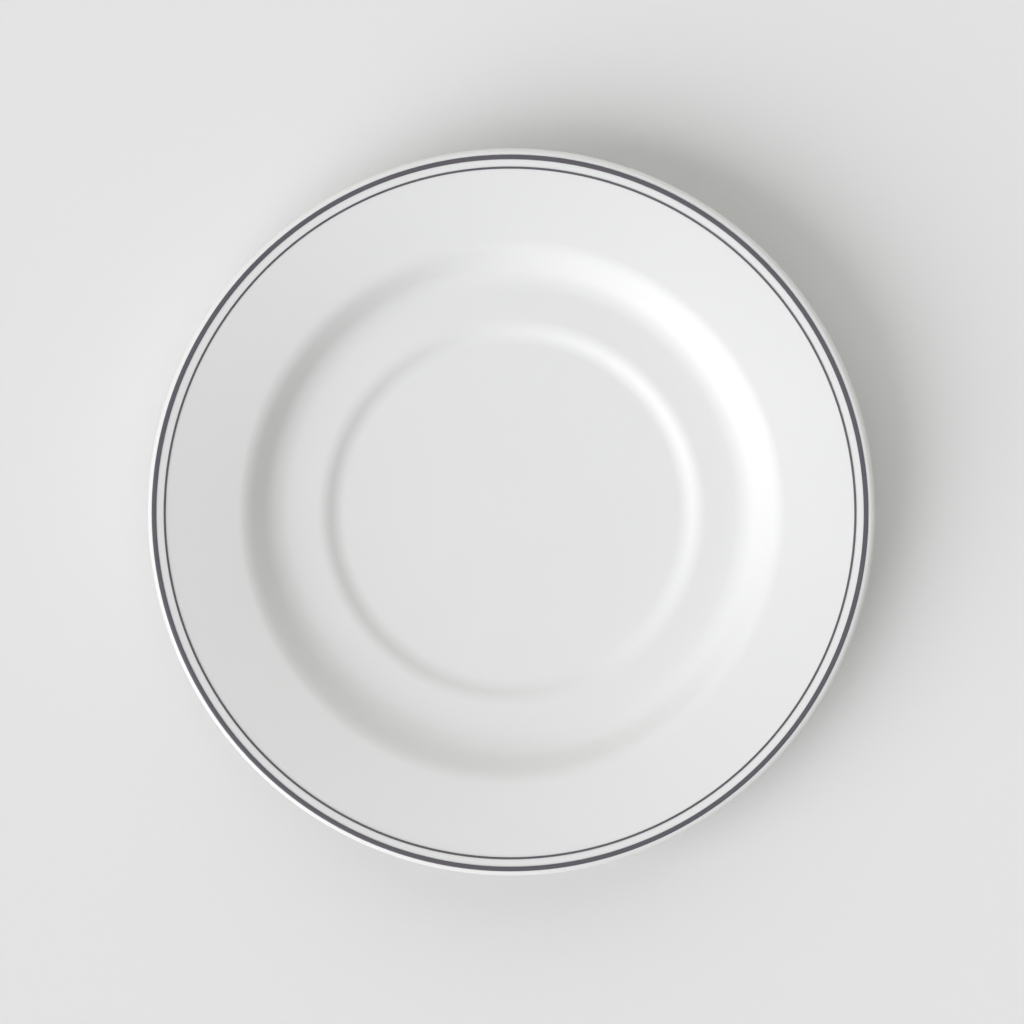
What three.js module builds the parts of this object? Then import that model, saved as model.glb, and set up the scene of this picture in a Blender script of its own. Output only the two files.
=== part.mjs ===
import * as THREE from "three";

// A round saucer with a cup well, standing on its foot ring. Millimetres, +Z up.
// The origin is the centre of the foot ring on the table. Sizes ending in ANGLE are in degrees.
// The sizes of the section are of the finished, glazed surface.

// Overall
const SAUCER_DIAMETER = 150;
const RECESS_HEIGHT = 2.2;
const BASE_THICKNESS = 3.3;
const WALL_THICKNESS = 4.0;
const RIM_THICKNESS = 3.2;

// The face, from the centre outwards
const CUP_WELL_DIAMETER = 72.6;
const CUP_STEP_RUN = 2.72;
const CUP_STEP_RISE = 1.67;
const LEDGE_WIDTH = 8.66;
const LEDGE_ANGLE = 0.1;
const APRON_WIDTH = 2.86;
const APRON_ANGLE = 19.5;
const WALL_RUN = 4.09;
const WALL_RISE = 5.16;
const RIM_ANGLE = 11.3;
const EDGE_WIDTH = 3.0;
const EDGE_ANGLE = 3.4;

// The foot ring
const FOOT_SETBACK = 4.8;
const FOOT_WIDTH = 3.4;
const FOOT_DRAFT_ANGLE = 8;

// Fillets
const CUP_STEP_FILLET = 6.2;
const LEDGE_FILLET = 9;
const WALL_FOOT_FILLET = 5.6;
const WALL_HEAD_FILLET = 5.4;
const EDGE_FILLET = 14;
const LIP_FILLET = 1.35;
const RIM_UNDERSIDE_FILLET = 9;
const SHOULDER_FILLET = 6;
const FOOT_ROOT_FILLET = 2.0;
const FOOT_EDGE_FILLET = 0.5;
const RECESS_FILLET = 0.9;
// The most of a straight that the fillet at either end of it may take up
const FILLET_SHARE = 0.48;

// Glaze: how thick it is, and how far above the table it stops on both flanks of the foot
const GLAZE_THICKNESS = 0.25;
const BARE_FOOT_HEIGHT = 0.8;

// The two painted lines. They were run on a wheel a little off the saucer's own centre.
const BROAD_BAND_INSET = 1.18;
const BROAD_BAND_WIDTH = 0.97;
const BAND_SPACING = 1.49;
const FINE_BAND_WIDTH = 0.43;
const BAND_THICKNESS = 0.12;
const BAND_CLEARANCE = 0.03;
const BAND_RUNOUT = 0.39;
const BAND_RUNOUT_ANGLE = 211;

// How finely curves are cut
const TURN_STEPS = 48;
const CHORD_ERROR = 0.07;
const BAND_STATIONS = 4;

// Finishes
const BISCUIT_FINISH = { color: "#dcd8cf", roughness: 0.8, metalness: 0 };
const GLAZE_FINISH = { color: "#e7e7e6", roughness: 0.5, metalness: 0 };
const BAND_FINISH = { color: "#635f67", roughness: 0.3, metalness: 0 };

const radians = THREE.MathUtils.degToRad;
const at = (radius, height) => new THREE.Vector2(radius, height);
const ORIGIN = at(0, 0);

// The point reached from another by going outwards by a run, on a slope.
function outwards(from, run, angle) {
  return at(from.x + run, from.y + run * Math.tan(radians(angle)));
}

// The left-hand side of the way between two points. Outlines run clockwise, so it is out of the clay.
function outOf(from, to) {
  const side = to.clone().sub(from).normalize();
  return side.rotateAround(ORIGIN, Math.PI / 2);
}

// A line, as two points, moved into the clay by a depth.
function sunk([from, to], depth) {
  const shift = outOf(from, to).multiplyScalar(-depth);
  return [from.clone().add(shift), to.clone().add(shift)];
}

// Where two lines cross.
function meet([from, to], [start, end]) {
  const way = to.clone().sub(from);
  const other = end.clone().sub(start);
  const share = start.clone().sub(from).cross(other) / way.cross(other);
  return from.clone().addScaledVector(way, share);
}

// Rounds the inner corners of an outline. Each point of the result keeps the direction out of the clay.
function rounded(corners) {
  const last = corners.length - 1;
  return corners.flatMap(({ point, fillet }, index) => {
    const before = corners[Math.max(index, 1) - 1].point;
    const after = corners[Math.min(index, last - 1) + 1].point;
    if (index === 0) return [{ point, out: outOf(point, after) }];
    if (index === last) return [{ point, out: outOf(before, point) }];
    const outBefore = outOf(before, point);
    const outAfter = outOf(point, after);
    const turn = Math.atan2(outBefore.cross(outAfter), outBefore.dot(outAfter));
    const bend = Math.tan(Math.abs(turn) / 2);
    const room = Math.min(point.distanceTo(before), point.distanceTo(after)) * FILLET_SHARE;
    const tangent = Math.min(fillet * bend, room);
    const radius = tangent / bend;
    const towards = before.clone().sub(point).setLength(tangent);
    const reach = -Math.sign(turn) * radius;
    const centre = point.clone().add(towards).addScaledVector(outBefore, -reach);
    const finest = 2 * Math.acos(1 - Math.min(CHORD_ERROR / radius, 1));
    const steps = Math.ceil(Math.abs(turn) / finest);
    return Array.from({ length: steps + 1 }, (_, step) => {
      const out = outBefore.clone().rotateAround(ORIGIN, (turn * step) / steps);
      return { point: centre.clone().addScaledVector(out, reach), out };
    });
  });
}

// The finished corners of the face, from the centre outwards
const wellHeight = RECESS_HEIGHT + BASE_THICKNESS;
const wellCentre = at(0, wellHeight);
const stepFoot = at(CUP_WELL_DIAMETER / 2, wellHeight);
const stepHead = at(stepFoot.x + CUP_STEP_RUN, stepFoot.y + CUP_STEP_RISE);
const ledgeEnd = outwards(stepHead, LEDGE_WIDTH, LEDGE_ANGLE);
const wallFoot = outwards(ledgeEnd, APRON_WIDTH, APRON_ANGLE);
const wallHead = at(wallFoot.x + WALL_RUN, wallFoot.y + WALL_RISE);
const rimRadius = SAUCER_DIAMETER / 2;
const rimBreak = outwards(wallHead, rimRadius - EDGE_WIDTH - wallHead.x, RIM_ANGLE);
const lipTop = outwards(rimBreak, EDGE_WIDTH, EDGE_ANGLE);

// The underside follows the face, a thickness below it
const table = [at(0, 0), at(rimRadius, 0)];
const plumbEdge = [lipTop, at(rimRadius, 0)];
const rimUnderside = sunk([wallHead, rimBreak], RIM_THICKNESS);
const wallUnderside = sunk([wallFoot, wallHead], WALL_THICKNESS);
const shoulder = sunk([ledgeEnd, wallFoot], BASE_THICKNESS);
const lipBottom = meet(plumbEdge, rimUnderside);
const rimRoot = meet(rimUnderside, wallUnderside);
const shoulderEnd = meet(wallUnderside, shoulder);

// The foot's flanks, and the level where the glaze stops on them
const footSpread = Math.tan(radians(FOOT_DRAFT_ANGLE)) * wellHeight;
const footOuter = wallFoot.x - FOOT_SETBACK;
const footInner = footOuter - FOOT_WIDTH;
const outerFlank = [at(footOuter + footSpread, wellHeight), at(footOuter, 0)];
const innerFlank = [at(footInner, 0), at(footInner - footSpread, wellHeight)];
const glazeLine = [at(0, BARE_FOOT_HEIGHT), at(rimRadius, BARE_FOOT_HEIGHT)];
const ceiling = [at(footInner, RECESS_HEIGHT), at(0, RECESS_HEIGHT)];

// The glazed outlines, both clockwise: over the face and under the rim, then inside the foot
const coat = rounded([
  { point: wellCentre },
  { point: stepFoot, fillet: CUP_STEP_FILLET },
  { point: stepHead, fillet: CUP_STEP_FILLET },
  { point: ledgeEnd, fillet: LEDGE_FILLET },
  { point: wallFoot, fillet: WALL_FOOT_FILLET },
  { point: wallHead, fillet: WALL_HEAD_FILLET },
  { point: rimBreak, fillet: EDGE_FILLET },
  { point: lipTop, fillet: LIP_FILLET },
  { point: lipBottom, fillet: LIP_FILLET },
  { point: rimRoot, fillet: RIM_UNDERSIDE_FILLET },
  { point: shoulderEnd, fillet: SHOULDER_FILLET },
  { point: meet(shoulder, outerFlank), fillet: FOOT_ROOT_FILLET },
  { point: meet(outerFlank, glazeLine) },
]);
const recess = rounded([
  { point: meet(innerFlank, glazeLine) },
  { point: meet(innerFlank, ceiling), fillet: RECESS_FILLET },
  { point: at(0, RECESS_HEIGHT) },
]);

// The clay under the glaze, and the bare standing edge of the foot
const finished = (outline) => outline.map(({ point }) => point);
const underGlaze = (outline) =>
  outline.map(({ point, out }) => point.clone().addScaledVector(out, -GLAZE_THICKNESS));
const coatBed = underGlaze(coat);
const recessBed = underGlaze(recess);
const standingEdge = rounded([
  { point: coatBed.at(-1) },
  { point: meet(sunk(outerFlank, GLAZE_THICKNESS), table), fillet: FOOT_EDGE_FILLET },
  { point: meet(sunk(innerFlank, GLAZE_THICKNESS), table), fillet: FOOT_EDGE_FILLET },
  { point: recessBed[0] },
]).slice(1, -1);

// Turns a clockwise outline into a solid about the upright axis.
function turned(outline) {
  const geometry = new THREE.LatheGeometry(outline.toReversed(), TURN_STEPS);
  return geometry.rotateX(Math.PI / 2);
}

function glaze(outline, bed) {
  return turned([...finished(outline), ...bed.toReversed(), outline[0].point]);
}

// The height of the glazed face at a place, on the flats that turning leaves.
function faceHeight(x, y) {
  const flat = (2 * Math.PI) / TURN_STEPS;
  const middle = (Math.floor(Math.atan2(y, x) / flat) + 0.5) * flat;
  const radius = (x * Math.cos(middle) + y * Math.sin(middle)) / Math.cos(flat / 2);
  const points = finished(coat);
  const next = points.findIndex((point) => point.x > radius);
  const from = points[next - 1];
  const to = points[next];
  return THREE.MathUtils.mapLinear(radius, from.x, to.x, from.y, to.y);
}

// A painted line: a thin flat ring, set off centre and laid down on the face.
function paintedLine(outerRadius, width) {
  const across = (station) => outerRadius - (width * station) / BAND_STATIONS;
  const stations = Array.from({ length: BAND_STATIONS + 1 }, (_, station) => station);
  const underneath = stations.map((station) => at(across(station), BAND_CLEARANCE));
  const top = stations.map((station) => at(across(station), BAND_CLEARANCE + BAND_THICKNESS));
  const geometry = turned([...underneath, ...top.toReversed(), underneath[0].clone()]);
  const shift = ORIGIN.clone().setX(BAND_RUNOUT).rotateAround(ORIGIN, radians(BAND_RUNOUT_ANGLE));
  geometry.translate(shift.x, shift.y, 0);
  const places = geometry.getAttribute("position");
  for (let index = 0; index < places.count; index++) {
    const height = faceHeight(places.getX(index), places.getY(index));
    places.setZ(index, places.getZ(index) + height);
  }
  geometry.computeVertexNormals();
  return geometry;
}

function piece(name, geometry, finish) {
  const mesh = new THREE.Mesh(geometry, new THREE.MeshStandardMaterial(finish));
  mesh.name = name;
  return mesh;
}

const broadBandRadius = rimRadius - BROAD_BAND_INSET;
const fineBandRadius = broadBandRadius - BROAD_BAND_WIDTH - BAND_SPACING;

const saucer = new THREE.Group();
saucer.name = "saucer";
saucer.add(
  piece("biscuit_body", turned([...coatBed, ...finished(standingEdge), ...recessBed]), BISCUIT_FINISH),
  piece("glaze_coat", glaze(coat, coatBed), GLAZE_FINISH),
  piece("foot_recess_glaze", glaze(recess, recessBed), GLAZE_FINISH),
  piece("broad_band", paintedLine(broadBandRadius, BROAD_BAND_WIDTH), BAND_FINISH),
  piece("fine_band", paintedLine(fineBandRadius, FINE_BAND_WIDTH), BAND_FINISH),
);

export default saucer;
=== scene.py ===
import math
from collections import namedtuple

import bmesh
import bpy
from bpy.props import FloatProperty, FloatVectorProperty, IntProperty, PointerProperty
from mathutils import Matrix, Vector
from mathutils.bvhtree import BVHTree


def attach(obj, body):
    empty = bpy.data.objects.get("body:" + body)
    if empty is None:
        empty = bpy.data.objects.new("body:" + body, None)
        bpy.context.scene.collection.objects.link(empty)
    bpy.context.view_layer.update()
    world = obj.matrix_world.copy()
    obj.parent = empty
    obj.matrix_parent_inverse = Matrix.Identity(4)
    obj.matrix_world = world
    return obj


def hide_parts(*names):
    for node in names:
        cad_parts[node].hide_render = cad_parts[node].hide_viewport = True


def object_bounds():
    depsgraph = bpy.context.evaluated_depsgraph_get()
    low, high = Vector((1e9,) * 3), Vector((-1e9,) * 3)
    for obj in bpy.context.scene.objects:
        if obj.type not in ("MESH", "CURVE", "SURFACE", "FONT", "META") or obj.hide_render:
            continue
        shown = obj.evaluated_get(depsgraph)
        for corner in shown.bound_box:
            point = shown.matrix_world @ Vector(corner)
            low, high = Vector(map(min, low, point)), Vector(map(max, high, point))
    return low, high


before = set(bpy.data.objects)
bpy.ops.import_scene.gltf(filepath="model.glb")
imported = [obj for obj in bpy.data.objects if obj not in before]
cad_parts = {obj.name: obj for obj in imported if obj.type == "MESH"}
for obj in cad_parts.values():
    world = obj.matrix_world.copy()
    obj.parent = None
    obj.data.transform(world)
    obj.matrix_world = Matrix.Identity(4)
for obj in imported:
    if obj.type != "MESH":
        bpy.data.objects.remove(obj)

bl_info = {
    "name": "Banded saucer",
    "version": (1, 0, 0),
    "blender": (4, 5, 0),
    "location": "View3D > Sidebar > Saucer",
    "description": "A glazed porcelain saucer with two painted lines, on a plain studio floor",
    "category": "Add Mesh",
}

CAD_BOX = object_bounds()
BODY = "root"
FACE_GLAZE = "face_glaze"
MM = 0.001
FULL_TURN = 2 * math.pi
UP = Vector((0, 0, 1))
ORIGIN = Vector((0, 0, 0))
MERGE_DISTANCE = 0.0005 * MM
SHARP_EDGE = math.radians(50)
FILLET_SHARE = 0.48

# Widths of the finishes' detail, in millimetres
SPECK_SPACING = 1.6
RUBBED_HEIGHT = 0.35
STREAK_LENGTH = 9
STREAK_WIDTH = 0.2
# Ring at the lip: thin glaze, tinted warmer as painted warm shade
THIN_GLAZE_SHADE_WIDTH = 0.9

# How strongly a detail covers what lies below it
THIN_GLAZE_SHADE_COVER = 1
SPECK_COVER = 0.7
RUBBED_COVER = 0.45
STREAK_COVER = 0.5

# Values of a texture at which a detail starts to show, and at which it shows in full
MOTTLE_START = 0.25
MOTTLE_FULL = 0.75
SPECK_START = 0.14
SPECK_FULL = 0.06
STREAK_START = 0.5
STREAK_FULL = 0.75

# Finer layers in the noise textures
MOTTLE_DETAIL = 3
GRAIN_DETAIL = 2

Corner = namedtuple("Corner", "point fillet")
Arc = namedtuple("Arc", "start centre turn")
FiredLook = namedtuple(
    "FiredLook",
    "colour mottle mottle_width roughness roughness_change grain_width relief",
)

# Soft lamps. Heading is from +X, anticlockwise from above; heading, height and spread are in degrees.
# A level is how bright the lamp makes a white face that lies level.
Lamp = namedtuple("Lamp", "name heading height spread level colour")
LAMPS = (
    Lamp("key_lamp", heading=214, height=30, spread=58, level=0.372, colour=(0.965, 0.965, 1)),
    Lamp("high_lamp", heading=217, height=83, spread=66, level=0.144, colour=(0.915, 0.915, 1)),
    Lamp("back_lamp", heading=92, height=25, spread=90, level=0.189, colour=(0.99, 0.995, 1)),
    Lamp("front_lamp", heading=251, height=21, spread=100, level=0.093, colour=(0.95, 0.965, 1)),
    Lamp("side_lamp", heading=17, height=28, spread=102, level=0.038, colour=(0.97, 1, 0.89)),
)


def length(name, millimetres, description):
    """A size in metres, given here in millimetres."""
    return FloatProperty(
        name=name,
        description=description,
        default=millimetres * MM,
        min=0,
        precision=5,
        unit="LENGTH",
    )


def angle(name, degrees, description):
    """An angle in radians, given here in degrees."""
    return FloatProperty(
        name=name,
        description=description,
        default=math.radians(degrees),
        subtype="ANGLE",
    )


def share(name, value, description, most=1):
    """A plain number from zero to a limit."""
    return FloatProperty(name=name, description=description, default=value, min=0, max=most, precision=3)


def colour(name, value, description):
    """A linear colour."""
    return FloatVectorProperty(
        name=name,
        description=description,
        default=value,
        size=3,
        min=0,
        max=1,
        subtype="COLOR",
    )


class SaucerSizes(bpy.types.PropertyGroup):
    """Sizes of the finished, glazed section, the same as the solid model's."""

    diameter: length("Diameter", 150, "Across the lip")
    recess_height: length("Recess height", 2.2, "From the table to the ceiling inside the foot ring")
    base_thickness: length("Base thickness", 3.3, "Through the floor of the cup well")
    wall_thickness: length("Wall thickness", 4.0, "Through the steep inner wall")
    rim_thickness: length("Rim thickness", 3.2, "Through the sloping rim")

    cup_well_diameter: length("Cup well diameter", 72.6, "Across the floor, to the corner of the step")
    cup_step_run: length("Cup step run", 2.72, "Width of the step round the cup well")
    cup_step_rise: length("Cup step rise", 1.67, "Height of the step round the cup well")
    ledge_width: length("Ledge width", 8.66, "Nearly level ring outside the step")
    ledge_angle: angle("Ledge angle", 0.1, "Slope of the ledge")
    apron_width: length("Apron width", 2.86, "Ring that starts to rise, below the wall")
    apron_angle: angle("Apron angle", 19.5, "Slope of the apron")
    wall_run: length("Wall run", 4.09, "Width of the steep inner wall")
    wall_rise: length("Wall rise", 5.16, "Height of the steep inner wall")
    rim_angle: angle("Rim angle", 11.3, "Slope of the rim")
    edge_width: length("Edge width", 3.0, "Flatter ring next to the lip")
    edge_angle: angle("Edge angle", 3.4, "Slope of the flatter ring")

    foot_setback: length("Foot setback", 4.8, "From the foot of the wall in to the foot ring")
    foot_width: length("Foot width", 3.4, "Across the foot ring, on the table")
    foot_draft: angle("Foot draft", 8, "Lean of the foot ring's flanks")

    cup_step_fillet: length("Cup step fillet", 6.2, "Both bends of the cup step")
    ledge_fillet: length("Ledge fillet", 9, "Between ledge and apron")
    wall_foot_fillet: length("Wall foot fillet", 5.6, "Between apron and wall")
    wall_head_fillet: length("Wall head fillet", 5.4, "Between wall and rim")
    edge_fillet: length("Edge fillet", 14, "Between the rim and its flatter edge")
    lip_fillet: length("Lip fillet", 1.35, "Rounding of the lip")
    rim_underside_fillet: length("Rim underside fillet", 9, "Under the wall's head")
    shoulder_fillet: length("Shoulder fillet", 6, "Under the wall's foot")
    foot_root_fillet: length("Foot root fillet", 2.0, "Where the foot meets the underside")
    foot_edge_fillet: length("Foot edge fillet", 0.5, "Both edges of the standing face")
    recess_fillet: length("Recess fillet", 0.9, "Inside the foot ring")

    glaze_thickness: length("Glaze thickness", 0.25, "Of the coat of glaze")
    glaze_edge_fillet: length("Glaze edge fillet", 0.18, "Edge where the glaze was wiped off the foot")
    bare_foot_height: length("Bare foot height", 0.8, "From the table to where the glaze stops")

    broad_band_inset: length("Broad line inset", 1.18, "From the lip in to the broad line")
    broad_band_width: length("Broad line width", 0.97, "Of the broad line")
    band_spacing: length("Line spacing", 1.49, "Glaze between the two lines")
    fine_band_width: length("Fine line width", 0.43, "Of the fine line")
    band_thickness: length("Line thickness", 0.12, "Height of the fired colour")
    band_edge_fillet: length("Line edge fillet", 0.05, "Softened upper edges of the lines")
    band_clearance: length("Line clearance", 0.03, "Gap that keeps the colour clear of the glaze")
    band_runout: length("Line run-out", 0.39, "How far off centre the lines were run")
    band_runout_angle: angle("Line run-out angle", 211, "Way that the lines are off centre, from +X")

    turn_steps: IntProperty(
        name="Turn steps",
        description="Faces round the saucer",
        default=240,
        min=24,
    )
    band_cuts: IntProperty(
        name="Line cuts",
        description="Cuts across a line, so that it follows the face",
        default=4,
        min=1,
    )
    bend_step: angle("Bend step", 4, "Finest turn of a fillet between two edges")


class SaucerFinish(bpy.types.PropertyGroup):
    """Colours and gloss of the three finishes."""

    glaze_colour: colour("Glaze", (0.80, 0.80, 0.79), "White glaze")
    glaze_roughness: share("Glaze roughness", 0.5, "Gloss of the glaze")
    # Glaze thin over the lip; its warmer colour is partly painted warm shade
    thin_glaze_warm_shade_colour: colour("Thin glaze", (0.80, 0.787, 0.76), "Glaze drawn thin over the lip")
    biscuit_colour: colour("Bare porcelain", (0.716, 0.686, 0.624), "Bare standing edge of the foot")
    biscuit_roughness: share("Bare porcelain roughness", 0.7, "Gloss of the bare porcelain")
    speck_colour: colour("Specks", (0.20, 0.15, 0.11), "Dark specks in the bare porcelain")
    rubbed_colour: colour("Rubbed edge", (0.42, 0.40, 0.37), "Standing edge where tables have rubbed it")
    line_colour: colour("Lines", (0.072, 0.065, 0.079), "Dark grey fired colour")
    streak_colour: colour("Streaks", (0.085, 0.078, 0.092), "Thinner colour along the brush strokes")
    line_roughness: share("Line roughness", 0.35, "Gloss of the lines")


class SaucerStudio(bpy.types.PropertyGroup):
    """The floor, the light and the camera."""

    light_level: share("Light level", 1, "All the lamps together", most=4)
    room_level: share("Room level", 0.089, "Light from all round")
    room_colour: colour("Room colour", (1, 0.98, 0.81), "Light from all round")
    backdrop_colour: colour("Backdrop", (0.80, 0.80, 0.80), "What shows beyond the floor")
    floor_colour: colour("Floor", (0.838, 0.835, 0.827), "Plain pale floor")
    floor_width: length("Floor width", 6000, "Across the floor")
    camera_height: length("Camera height", 1000, "Above the table, over the saucer")
    camera_aside: length("Camera aside", 0.08, "To the right of the saucer's middle")
    frame_width: length("Frame width", 210.87, "Seen across the picture, at the height of the lip")


def outward(start, run, slope):
    """The point reached from another by going outwards by a run, on a slope."""
    return Vector((start.x + run, start.y + run * math.tan(slope)))


def out_of_clay(start, end):
    """The left-hand side of a way. Outlines run clockwise, so that is out of the clay."""
    return (end - start).normalized().orthogonal()


def sunk(line, depth):
    """A line, as two points, moved into the clay by a depth."""
    shift = out_of_clay(*line) * -depth
    return line[0] + shift, line[1] + shift


def meet(line, other):
    """Where two lines cross."""
    way = line[1] - line[0]
    other_way = other[1] - other[0]
    reach = (other[0] - line[0]).cross(other_way) / way.cross(other_way)
    return line[0] + way * reach


def level(height):
    """A level line across the section, running outwards."""
    return Vector((0, height)), Vector((1, height))


def section(sizes):
    """The two glazed outlines and the bare corners of the foot, clockwise, as radius and height."""
    well_height = sizes.recess_height + sizes.base_thickness
    radius = sizes.diameter / 2
    step_foot = Vector((sizes.cup_well_diameter / 2, well_height))
    step_head = step_foot + Vector((sizes.cup_step_run, sizes.cup_step_rise))
    ledge_end = outward(step_head, sizes.ledge_width, sizes.ledge_angle)
    wall_foot = outward(ledge_end, sizes.apron_width, sizes.apron_angle)
    wall_head = wall_foot + Vector((sizes.wall_run, sizes.wall_rise))
    rim_break = outward(wall_head, radius - sizes.edge_width - wall_head.x, sizes.rim_angle)
    lip_top = outward(rim_break, sizes.edge_width, sizes.edge_angle)

    rim_underside = sunk((wall_head, rim_break), sizes.rim_thickness)
    wall_underside = sunk((wall_foot, wall_head), sizes.wall_thickness)
    shoulder = sunk((ledge_end, wall_foot), sizes.base_thickness)
    plumb_edge = (lip_top, Vector((radius, 0)))

    spread = math.tan(sizes.foot_draft) * well_height
    foot_outer = wall_foot.x - sizes.foot_setback
    foot_inner = foot_outer - sizes.foot_width
    outer_flank = (Vector((foot_outer + spread, well_height)), Vector((foot_outer, 0)))
    inner_flank = (Vector((foot_inner, 0)), Vector((foot_inner - spread, well_height)))
    glaze_line = level(sizes.bare_foot_height)
    ceiling = level(sizes.recess_height)
    table = level(0)

    coat = [
        Corner(Vector((0, well_height)), 0),
        Corner(step_foot, sizes.cup_step_fillet),
        Corner(step_head, sizes.cup_step_fillet),
        Corner(ledge_end, sizes.ledge_fillet),
        Corner(wall_foot, sizes.wall_foot_fillet),
        Corner(wall_head, sizes.wall_head_fillet),
        Corner(rim_break, sizes.edge_fillet),
        Corner(lip_top, sizes.lip_fillet),
        Corner(meet(plumb_edge, rim_underside), sizes.lip_fillet),
        Corner(meet(rim_underside, wall_underside), sizes.rim_underside_fillet),
        Corner(meet(wall_underside, shoulder), sizes.shoulder_fillet),
        Corner(meet(shoulder, outer_flank), sizes.foot_root_fillet),
        Corner(meet(outer_flank, glaze_line), 0),
    ]
    recess = [
        Corner(meet(inner_flank, glaze_line), 0),
        Corner(meet(inner_flank, ceiling), sizes.recess_fillet),
        Corner(Vector((0, sizes.recess_height)), 0),
    ]
    foot = [
        Corner(meet(sunk(outer_flank, sizes.glaze_thickness), table), sizes.foot_edge_fillet),
        Corner(meet(sunk(inner_flank, sizes.glaze_thickness), table), sizes.foot_edge_fillet),
    ]
    return coat, recess, foot


def under(outline, depth):
    """An outline a depth inside another. A fillet shrinks on an outer bend and grows on an inner one."""
    points = [corner.point for corner in outline]
    lines = [sunk(line, depth) for line in zip(points, points[1:])]
    inside = [Corner(lines[0][0], 0)]
    for index, (line, following) in enumerate(zip(lines, lines[1:]), start=1):
        bend = (line[1] - line[0]).cross(following[1] - following[0])
        fillet = outline[index].fillet + math.copysign(depth, bend)
        inside.append(Corner(meet(line, following), max(fillet, 0)))
    inside.append(Corner(lines[-1][1], 0))
    return inside


def rounding(before, corner, after):
    """The arc that rounds a corner, within its share of the straight on either side."""
    arriving = (corner.point - before).normalized()
    leaving = (after - corner.point).normalized()
    turn = math.atan2(arriving.cross(leaving), arriving.dot(leaving))
    bend = math.tan(abs(turn) / 2)
    room = min((corner.point - before).length, (after - corner.point).length) * FILLET_SHARE
    tangent = min(corner.fillet * bend, room)
    start = corner.point - arriving * tangent
    side = arriving.orthogonal() * math.copysign(tangent / bend, turn)
    return Arc(start, start + side, turn)


def on_section(point):
    """A point of the section, in the XZ plane."""
    return Vector((point.x, 0, point.y))


def draw_straight(bm, pen, point):
    """Draws an edge from the pen's vertex and returns the new end."""
    tip = bmesh.ops.extrude_vert_indiv(bm, verts=[pen])["verts"][0]
    bmesh.ops.translate(bm, verts=[tip], vec=on_section(point) - tip.co)
    return tip


def draw_arc(bm, pen, arc, bend_step):
    """Draws a fillet from the pen's vertex by turning it about the fillet's centre."""
    made = bmesh.ops.spin(
        bm,
        geom=[pen],
        cent=on_section(arc.centre),
        axis=(0, -1, 0),
        angle=arc.turn,
        steps=max(2, math.ceil(abs(arc.turn) / bend_step)),
    )
    return next(part for part in made["geom_last"] if isinstance(part, bmesh.types.BMVert))


def draw_outline(bm, outline, bend_step):
    """Draws an outline as a wire, with its corners rounded."""
    pen = bm.verts.new(on_section(outline[0].point))
    for before, corner, after in zip(outline, outline[1:], outline[2:]):
        if corner.fillet:
            arc = rounding(before.point, corner, after.point)
            pen = draw_straight(bm, pen, arc.start)
            pen = draw_arc(bm, pen, arc, bend_step)
        else:
            pen = draw_straight(bm, pen, corner.point)
    draw_straight(bm, pen, outline[-1].point)


def turn_about(bm, centre, steps):
    """Turns the wire about an upright axis, closes the seam and the poles, and faces it outwards."""
    bmesh.ops.spin(
        bm,
        geom=bm.verts[:] + bm.edges[:],
        cent=centre,
        axis=UP,
        angle=FULL_TURN,
        steps=steps,
        use_merge=True,
    )
    bmesh.ops.remove_doubles(bm, verts=bm.verts, dist=MERGE_DISTANCE)
    bmesh.ops.recalc_face_normals(bm, faces=bm.faces)


def smooth_piece(bm, name):
    """Makes the mesh an object, smooth but for its sharp edges."""
    for face in bm.faces:
        face.smooth = True
    for edge in bm.edges:
        edge.smooth = edge.calc_face_angle(0) < SHARP_EDGE
    mesh = bpy.data.meshes.new(name)
    bm.to_mesh(mesh)
    bm.free()
    piece = bpy.data.objects.new(name, mesh)
    bpy.context.scene.collection.objects.link(piece)
    return piece


def stand_for(piece, node):
    """Puts a piece in the place of its CAD node."""
    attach(piece, BODY)
    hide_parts(node)


def turned_piece(name, outline, sizes):
    """A solid of revolution, from an outline that starts and ends on the axis or at the same edge."""
    bm = bmesh.new()
    draw_outline(bm, outline, sizes.bend_step)
    turn_about(bm, ORIGIN, sizes.turn_steps)
    return smooth_piece(bm, name)


def painted_line(name, outer_radius, width, sizes):
    """A thin ring, run off centre and laid on the glazed face, with softened upper edges."""
    heading = sizes.band_runout_angle
    centre = Vector((math.cos(heading), math.sin(heading), 0)) * sizes.band_runout
    bm = bmesh.new()
    inner_end = bm.verts.new(centre + Vector((outer_radius - width, 0, 0)))
    outer_end = bm.verts.new(centre + Vector((outer_radius, 0, 0)))
    across = bm.edges.new((inner_end, outer_end))
    bmesh.ops.subdivide_edges(bm, edges=[across], cuts=sizes.band_cuts)
    turn_about(bm, centre, sizes.turn_steps)
    lay_on_face(bm, sizes.band_clearance)
    raised = bmesh.ops.extrude_face_region(bm, geom=bm.faces[:])["geom"]
    top = [part for part in raised if isinstance(part, bmesh.types.BMVert)]
    bmesh.ops.translate(bm, verts=top, vec=UP * sizes.band_thickness)
    bmesh.ops.recalc_face_normals(bm, faces=bm.faces)
    top_edges = [edge for edge in bm.edges if set(edge.verts) <= set(top)]
    rims = [edge for edge in top_edges if edge.calc_face_angle() > SHARP_EDGE]
    bmesh.ops.bevel(
        bm,
        geom=rims,
        affect="EDGES",
        offset=sizes.band_edge_fillet,
        segments=2,
        profile=0.5,
        material=-1,
    )
    return smooth_piece(bm, name)


def lay_on_face(bm, clearance):
    """Drops every vertex onto the glazed face."""
    glaze = bpy.data.objects.get(FACE_GLAZE)
    if glaze is None:
        raise RuntimeError("the lines lie on the glaze, so it is made first")
    face = BVHTree.FromObject(glaze, bpy.context.evaluated_depsgraph_get())
    for vertex in bm.verts:
        hit = face.ray_cast(vertex.co + UP, -UP)[0]
        if hit is None:
            raise RuntimeError("a painted line runs off the face")
        vertex.co.z = hit.z + clearance


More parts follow.
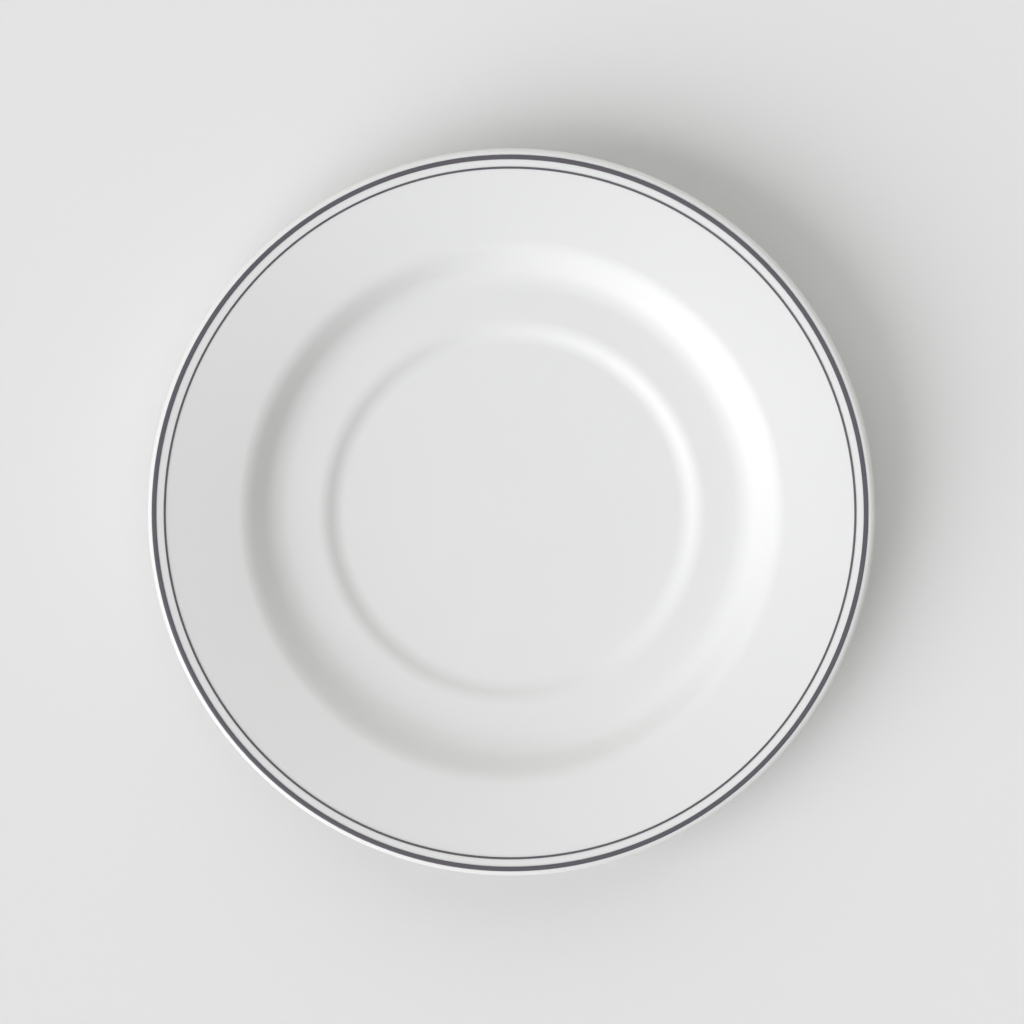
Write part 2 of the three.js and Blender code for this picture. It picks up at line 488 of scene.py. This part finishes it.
def glaze_outline(outline, sizes):
    """The closed section of a coat of glaze, with a rounded edge where it was wiped off the foot."""
    bed = under(outline, sizes.glaze_thickness)
    edge = sizes.glaze_edge_fillet
    if outline[0].point.x == 0:
        rolled = outline[:-1] + [Corner(outline[-1].point, edge)]
        return rolled + bed[::-1]
    rolled = [Corner(outline[0].point, edge)] + outline[1:]
    return bed[::-1] + rolled


def new_material(name):
    """A material with its nodes, its links and its shader."""
    material = bpy.data.materials.new(name)
    material.use_nodes = True
    tree = material.node_tree
    return material, tree.nodes, tree.links, tree.nodes["Principled BSDF"]


def fired_surface():
    """Shared shader group: soft mottling of colour and gloss, and a fine relief."""
    name = "fired_surface"
    if name in bpy.data.node_groups:
        return bpy.data.node_groups[name]
    group = bpy.data.node_groups.new(name, "ShaderNodeTree")
    for label in ("Colour", "Mottle Colour"):
        group.interface.new_socket(label, in_out="INPUT", socket_type="NodeSocketColor")
    for label in ("Mottle Scale", "Grain Scale", "Roughness", "Roughness Change"):
        group.interface.new_socket(label, in_out="INPUT", socket_type="NodeSocketFloat")
    group.interface.new_socket("Colour", in_out="OUTPUT", socket_type="NodeSocketColor")
    for label in ("Roughness", "Height"):
        group.interface.new_socket(label, in_out="OUTPUT", socket_type="NodeSocketFloat")

    nodes, links = group.nodes, group.links
    given = nodes.new("NodeGroupInput")
    result = nodes.new("NodeGroupOutput")
    place = nodes.new("ShaderNodeTexCoord")
    mottle = nodes.new("ShaderNodeTexNoise")
    mottle.inputs["Detail"].default_value = MOTTLE_DETAIL
    grain = nodes.new("ShaderNodeTexNoise")
    grain.inputs["Detail"].default_value = GRAIN_DETAIL
    for noise, scale in ((mottle, "Mottle Scale"), (grain, "Grain Scale")):
        links.new(place.outputs["Object"], noise.inputs["Vector"])
        links.new(given.outputs[scale], noise.inputs["Scale"])
    soften = nodes.new("ShaderNodeMapRange")
    soften.interpolation_type = "SMOOTHSTEP"
    soften.inputs["From Min"].default_value = MOTTLE_START
    soften.inputs["From Max"].default_value = MOTTLE_FULL
    links.new(mottle.outputs["Fac"], soften.inputs["Value"])

    tint = nodes.new("ShaderNodeMix")
    tint.data_type = "RGBA"
    links.new(soften.outputs["Result"], tint.inputs["Factor"])
    links.new(given.outputs["Colour"], tint.inputs["A"])
    links.new(given.outputs["Mottle Colour"], tint.inputs["B"])
    links.new(tint.outputs["Result"], result.inputs["Colour"])
    gloss = nodes.new("ShaderNodeMath")
    gloss.operation = "MULTIPLY_ADD"
    links.new(soften.outputs["Result"], gloss.inputs[0])
    links.new(given.outputs["Roughness Change"], gloss.inputs[1])
    links.new(given.outputs["Roughness"], gloss.inputs[2])
    links.new(gloss.outputs["Value"], result.inputs["Roughness"])
    links.new(grain.outputs["Fac"], result.inputs["Height"])
    return group


def fired_material(name, look):
    """A material whose colour, gloss and relief come from the shared group."""
    material, nodes, links, shader = new_material(name)
    surface = nodes.new("ShaderNodeGroup")
    surface.node_tree = fired_surface()
    surface.inputs["Colour"].default_value = (*look.colour, 1)
    surface.inputs["Mottle Colour"].default_value = (*(part * look.mottle for part in look.colour), 1)
    surface.inputs["Mottle Scale"].default_value = 1 / (look.mottle_width * MM)
    surface.inputs["Grain Scale"].default_value = 1 / (look.grain_width * MM)
    surface.inputs["Roughness"].default_value = look.roughness
    surface.inputs["Roughness Change"].default_value = look.roughness_change
    relief = nodes.new("ShaderNodeBump")
    relief.inputs["Distance"].default_value = look.relief * MM
    links.new(surface.outputs["Height"], relief.inputs["Height"])
    links.new(relief.outputs["Normal"], shader.inputs["Normal"])
    links.new(surface.outputs["Roughness"], shader.inputs["Roughness"])
    links.new(surface.outputs["Colour"], shader.inputs["Base Color"])
    return material


def tint_over(material, mask, colour_over):
    """Lays another colour over what the material has so far, where a mask says."""
    nodes, links = material.node_tree.nodes, material.node_tree.links
    base = nodes["Principled BSDF"].inputs["Base Color"]
    below = base.links[0].from_socket
    over = nodes.new("ShaderNodeMix")
    over.data_type = "RGBA"
    over.inputs["B"].default_value = (*colour_over, 1)
    links.new(mask, over.inputs["Factor"])
    links.new(below, over.inputs["A"])
    links.new(over.outputs["Result"], base)


def ramp(material, value, low, high, most):
    """A mask that goes smoothly from none at one value to the most at another."""
    nodes, links = material.node_tree.nodes, material.node_tree.links
    mask = nodes.new("ShaderNodeMapRange")
    mask.interpolation_type = "SMOOTHSTEP"
    mask.inputs["From Min"].default_value = low
    mask.inputs["From Max"].default_value = high
    mask.inputs["To Max"].default_value = most
    links.new(value, mask.inputs["Value"])
    return mask.outputs["Result"]


def from_axis(material):
    """A point's place, brought level with the table, and its distance from the axis."""
    nodes, links = material.node_tree.nodes, material.node_tree.links
    place = nodes.new("ShaderNodeTexCoord")
    level_place = nodes.new("ShaderNodeVectorMath")
    level_place.operation = "MULTIPLY"
    level_place.inputs[1].default_value = (1, 1, 0)
    links.new(place.outputs["Object"], level_place.inputs[0])
    radius = nodes.new("ShaderNodeVectorMath")
    radius.operation = "LENGTH"
    links.new(level_place.outputs["Vector"], radius.inputs[0])
    return level_place.outputs["Vector"], radius.outputs["Value"]


def glaze_material(finish, lip_radius):
    """White glaze: nearly even, with the slight unevenness of a poured coat, thin over the lip, and
    warmer all round the lip as painted warm shade.
    """
    look = FiredLook(
        colour=finish.glaze_colour,
        mottle=0.992,
        mottle_width=14,
        roughness=finish.glaze_roughness,
        roughness_change=0.015,
        grain_width=2.5,
        relief=0.001,
    )
    material = fired_material("white_glaze", look)
    _, radius = from_axis(material)
    # Painted warm shade: the outermost ring of the lip is tinted warmer all round, on top of the thin
    # glaze there
    thick_radius = lip_radius - THIN_GLAZE_SHADE_WIDTH * MM
    thin = ramp(material, radius, thick_radius, lip_radius, THIN_GLAZE_SHADE_COVER)
    tint_over(material, thin, finish.thin_glaze_warm_shade_colour)
    return material


def biscuit_material(finish):
    """Bare fired porcelain: fine grain, a few dark specks, and a standing edge rubbed grey."""
    look = FiredLook(
        colour=finish.biscuit_colour,
        mottle=0.9,
        mottle_width=3.5,
        roughness=finish.biscuit_roughness,
        roughness_change=0.12,
        grain_width=0.22,
        relief=0.02,
    )
    material = fired_material("bare_porcelain", look)
    nodes, links = material.node_tree.nodes, material.node_tree.links
    place = nodes.new("ShaderNodeTexCoord")
    specks = nodes.new("ShaderNodeTexVoronoi")
    specks.inputs["Scale"].default_value = 1 / (SPECK_SPACING * MM)
    links.new(place.outputs["Object"], specks.inputs["Vector"])
    speckled = ramp(material, specks.outputs["Distance"], SPECK_START, SPECK_FULL, SPECK_COVER)
    tint_over(material, speckled, finish.speck_colour)
    axes = nodes.new("ShaderNodeSeparateXYZ")
    links.new(place.outputs["Object"], axes.inputs["Vector"])
    rubbed = ramp(material, axes.outputs["Z"], RUBBED_HEIGHT * MM, 0, RUBBED_COVER)
    tint_over(material, rubbed, finish.rubbed_colour)
    return material


def line_material(finish):
    """Fired colour, put on with a brush while the saucer turned: faint streaks follow the line."""
    look = FiredLook(
        colour=finish.line_colour,
        mottle=1.08,
        mottle_width=6,
        roughness=finish.line_roughness,
        roughness_change=0.08,
        grain_width=0.6,
        relief=0.002,
    )
    material = fired_material("dark_grey_line", look)
    nodes, links = material.node_tree.nodes, material.node_tree.links
    level_place, radius = from_axis(material)
    across = nodes.new("ShaderNodeMath")
    across.operation = "MULTIPLY"
    across.inputs[1].default_value = STREAK_LENGTH / STREAK_WIDTH
    links.new(radius, across.inputs[0])
    up_by_radius = nodes.new("ShaderNodeCombineXYZ")
    links.new(across.outputs["Value"], up_by_radius.inputs["Z"])
    along = nodes.new("ShaderNodeVectorMath")
    along.operation = "ADD"
    links.new(level_place, along.inputs[0])
    links.new(up_by_radius.outputs["Vector"], along.inputs[1])
    streaks = nodes.new("ShaderNodeTexNoise")
    streaks.inputs["Scale"].default_value = 1 / (STREAK_LENGTH * MM)
    links.new(along.outputs["Vector"], streaks.inputs["Vector"])
    streaked = ramp(material, streaks.outputs["Fac"], STREAK_START, STREAK_FULL, STREAK_COVER)
    tint_over(material, streaked, finish.streak_colour)
    return material


def lay_floor(studio):
    """A plain matt floor under the saucer."""
    bm = bmesh.new()
    bmesh.ops.create_grid(bm, x_segments=1, y_segments=1, size=studio.floor_width / 2)
    mesh = bpy.data.meshes.new("studio_floor")
    bm.to_mesh(mesh)
    bm.free()
    material, _, _, shader = new_material("pale_floor")
    shader.inputs["Base Color"].default_value = (*studio.floor_colour, 1)
    shader.inputs["Roughness"].default_value = 1
    shader.inputs["Specular IOR Level"].default_value = 0
    mesh.materials.append(material)
    floor = bpy.data.objects.new("studio_floor", mesh)
    bpy.context.scene.collection.objects.link(floor)


def hang_lamp(lamp, light_level):
    """A large soft lamp, far away."""
    heading = math.radians(lamp.heading)
    height = math.radians(lamp.height)
    way = Vector((
        math.cos(heading) * math.cos(height),
        math.sin(heading) * math.cos(height),
        math.sin(height),
    ))
    light = bpy.data.lights.new(lamp.name, "SUN")
    light.energy = light_level * lamp.level * math.pi / math.sin(height)
    light.angle = math.radians(lamp.spread)
    light.color = lamp.colour
    hung = bpy.data.objects.new(lamp.name, light)
    hung.location = way
    hung.rotation_euler = way.to_track_quat("Z", "Y").to_euler()
    bpy.context.scene.collection.objects.link(hung)


def room_light(studio):
    """Even light from all round, and a pale backdrop for what looks at it or reflects it."""
    world = bpy.data.worlds.new("studio_room")
    world.use_nodes = True
    nodes, links = world.node_tree.nodes, world.node_tree.links
    light = nodes["Background"]
    light.inputs["Color"].default_value = (*studio.room_colour, 1)
    light.inputs["Strength"].default_value = studio.light_level * studio.room_level
    backdrop = nodes.new("ShaderNodeBackground")
    backdrop.inputs["Color"].default_value = (*studio.backdrop_colour, 1)
    path = nodes.new("ShaderNodeLightPath")
    looked_at = path.outputs["Is Camera Ray"]
    for ray in ("Is Glossy Ray", "Is Transmission Ray"):
        either = nodes.new("ShaderNodeMath")
        either.operation = "MAXIMUM"
        links.new(looked_at, either.inputs[0])
        links.new(path.outputs[ray], either.inputs[1])
        looked_at = either.outputs["Value"]
    choice = nodes.new("ShaderNodeMixShader")
    links.new(looked_at, choice.inputs["Fac"])
    links.new(light.outputs["Background"], choice.inputs[1])
    links.new(backdrop.outputs["Background"], choice.inputs[2])
    links.new(choice.outputs["Shader"], nodes["World Output"].inputs["Surface"])
    return world


def overhead_camera(studio):
    """A camera that looks straight down on the saucer."""
    lens = bpy.data.cameras.new("overhead_camera")
    to_lip = studio.camera_height - CAD_BOX[1].z
    lens.lens = lens.sensor_width * to_lip / studio.frame_width
    camera = bpy.data.objects.new("overhead_camera", lens)
    camera.location = (studio.camera_aside, 0, studio.camera_height)
    bpy.context.scene.collection.objects.link(camera)
    return camera


class SAUCER_OT_body(bpy.types.Operator):
    """Make the porcelain body with its foot ring"""

    bl_idname = "saucer.body"
    bl_label = "Porcelain body"
    bl_options = {"REGISTER", "UNDO"}

    def execute(self, context):
        sizes = context.scene.saucer_sizes
        coat, recess, foot = section(sizes)
        outline = under(coat, sizes.glaze_thickness) + foot + under(recess, sizes.glaze_thickness)
        body = turned_piece("porcelain_body", outline, sizes)
        body.data.materials.append(biscuit_material(context.scene.saucer_finish))
        stand_for(body, "biscuit_body")
        return {"FINISHED"}


class SAUCER_OT_glaze(bpy.types.Operator):
    """Make the two coats of glaze: over the face, lip and underside, and inside the foot ring"""

    bl_idname = "saucer.glaze"
    bl_label = "Glaze"
    bl_options = {"REGISTER", "UNDO"}

    def execute(self, context):
        sizes = context.scene.saucer_sizes
        coat, recess, _ = section(sizes)
        material = glaze_material(context.scene.saucer_finish, sizes.diameter / 2)
        for name, outline, node in (
            (FACE_GLAZE, coat, "glaze_coat"),
            ("recess_glaze", recess, "foot_recess_glaze"),
        ):
            piece = turned_piece(name, glaze_outline(outline, sizes), sizes)
            piece.data.materials.append(material)
            stand_for(piece, node)
        return {"FINISHED"}


class SAUCER_OT_lines(bpy.types.Operator):
    """Make the two painted lines, a little off centre, laid on the glazed face"""

    bl_idname = "saucer.lines"
    bl_label = "Painted lines"
    bl_options = {"REGISTER", "UNDO"}

    def execute(self, context):
        sizes = context.scene.saucer_sizes
        material = line_material(context.scene.saucer_finish)
        broad_edge = sizes.diameter / 2 - sizes.broad_band_inset
        fine_edge = broad_edge - sizes.broad_band_width - sizes.band_spacing
        for name, edge, width, node in (
            ("broad_line", broad_edge, sizes.broad_band_width, "broad_band"),
            ("fine_line", fine_edge, sizes.fine_band_width, "fine_band"),
        ):
            piece = painted_line(name, edge, width, sizes)
            piece.data.materials.append(material)
            stand_for(piece, node)
        return {"FINISHED"}


class SAUCER_OT_stage(bpy.types.Operator):
    """Make the floor, the soft lamps, the room light and the camera"""

    bl_idname = "saucer.stage"
    bl_label = "Floor, light and camera"
    bl_options = {"REGISTER", "UNDO"}

    def execute(self, context):
        studio = context.scene.saucer_studio
        lay_floor(studio)
        for lamp in LAMPS:
            hang_lamp(lamp, studio.light_level)
        context.scene.world = room_light(studio)
        context.scene.camera = overhead_camera(studio)
        context.scene.view_settings.view_transform = "Standard"
        return {"FINISHED"}


class SAUCER_PT_sidebar(bpy.types.Panel):
    """Buttons and sizes of the saucer"""

    bl_idname = "SAUCER_PT_sidebar"
    bl_label = "Saucer"
    bl_space_type = "VIEW_3D"
    bl_region_type = "UI"
    bl_category = "Saucer"

    def draw(self, context):
        layout = self.layout
        scene = context.scene
        for operator in OPERATORS:
            layout.operator(operator.bl_idname)
        for group in (scene.saucer_sizes, scene.saucer_finish, scene.saucer_studio):
            box = layout.box()
            for name in group.__annotations__:
                box.prop(group, name)


OPERATORS = (SAUCER_OT_body, SAUCER_OT_glaze, SAUCER_OT_lines, SAUCER_OT_stage)
GROUPS = {"saucer_sizes": SaucerSizes, "saucer_finish": SaucerFinish, "saucer_studio": SaucerStudio}
CLASSES = (*GROUPS.values(), *OPERATORS, SAUCER_PT_sidebar)


def register():
    for cls in CLASSES:
        bpy.utils.register_class(cls)
    for name, group in GROUPS.items():
        setattr(bpy.types.Scene, name, PointerProperty(type=group))


def unregister():
    for name in GROUPS:
        delattr(bpy.types.Scene, name)
    for cls in reversed(CLASSES):
        bpy.utils.unregister_class(cls)


def main():
    register()
    bpy.ops.saucer.body()
    bpy.ops.saucer.glaze()
    bpy.ops.saucer.lines()
    bpy.ops.saucer.stage()


if __name__ == "__main__":
    main()
